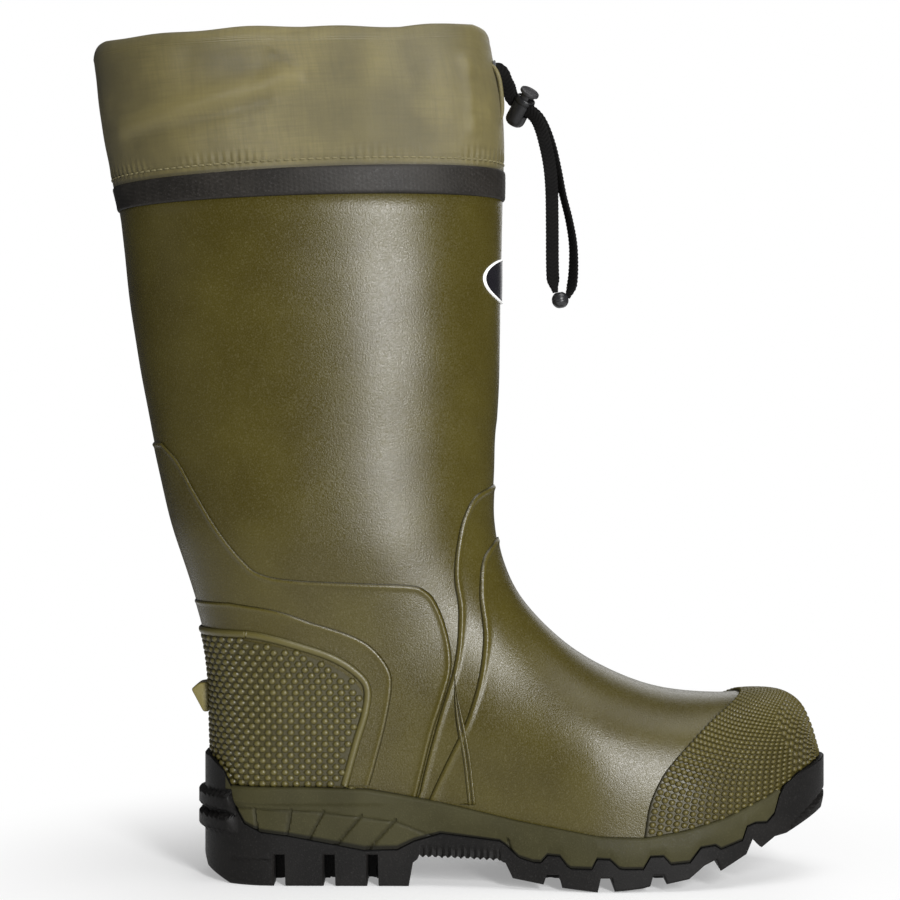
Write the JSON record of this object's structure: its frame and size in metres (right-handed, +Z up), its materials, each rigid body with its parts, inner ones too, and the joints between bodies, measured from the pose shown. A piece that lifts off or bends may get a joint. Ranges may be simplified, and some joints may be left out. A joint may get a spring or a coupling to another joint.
{
  "type": "insulated rubber boot",
  "caption": "Right-foot insulated rubber boot with cloth collar, flat drawcord with sliding cord lock, studded toe and heel, cupped midsole and deep lugged sole.",
  "frame": {"origin": "middle of the boot's box on the ground, under the sole", "axes": "+X towards the toe, +Y towards the inner (big toe) side, +Z up the leg"},
  "size_m": [0.3635, 0.109, 0.417],
  "materials": {
    "black_rubber": "matte moulded rubber",
    "sole_olive": "satin moulded rubber",
    "spring_steel": "brushed",
    "board": "fibre board",
    "foam": "closed cell foam",
    "footbed_cloth": "knitted cloth",
    "olive_rubber": "satin rubber",
    "cap_rubber": "satin studded rubber",
    "grip_rubber": "satin studded rubber",
    "spur_rubber": "satin rubber",
    "neoprene": "cloth-faced neoprene",
    "badge_black": "satin",
    "badge_white": "satin print",
    "band_rubber": "fine ribbed rubber",
    "collar_cloth": "coated woven cloth",
    "thread": "twisted thread",
    "cord": "flat braid",
    "lock_black": "satin moulded",
    "lock_grey": "satin moulded",
    "wire": "wire",
    "bead_black": "satin moulded"
  },
  "bodies": {
    "boot": {"outsole": "black_rubber", "midsole": "sole_olive", "shank": "spring_steel", "insole_board": "board", "footbed": "foam", "footbed_cover": "footbed_cloth", "leg_shell": "olive_rubber", "vamp_shell": "olive_rubber", "liner_leg": "neoprene", "liner_foot": "neoprene", "ankle_overlay": "olive_rubber", "vamp_overlay": "olive_rubber", "instep_overlay": "olive_rubber", "ankle_strips": "cap_rubber", "heel_overlay": "olive_rubber", "heel_grip_panel": "grip_rubber", "heel_grip_rim": "cap_rubber", "kick_spur": "spur_rubber", "toe_cap": "cap_rubber", "badge": "badge_black", "badge_rim": "badge_white", "top_band": "band_rubber", "collar": "collar_cloth", "collar_lining": "neoprene", "collar_stitching": "thread", "cord_outlets": "cord", "drawcord_hem": "cord", "drawcord_near": "cord", "drawcord_far": "cord", "cord_end": "bead_black"},
    "cord_lock": {"lock_barrel": "lock_black", "lock_spring": "wire"},
    "plunger": {"lock_plunger": "lock_grey"}
  },
  "joints": [
    {"name": "lock_slide", "type": "slide", "parent": "boot", "child": "cord_lock", "axis": [0.7041, -0.339, -0.624], "range_m": [-0.001, 0.004]},
    {"name": "plunger_press", "type": "slide", "parent": "cord_lock", "child": "plunger", "axis": [-0.4304, 0.4951, -0.7547], "range_m": [0, 0.0025], "stiffness_N_per_m": 1000, "springref_m": -0.0005, "deforming": ["lock_spring"]}
  ]
}
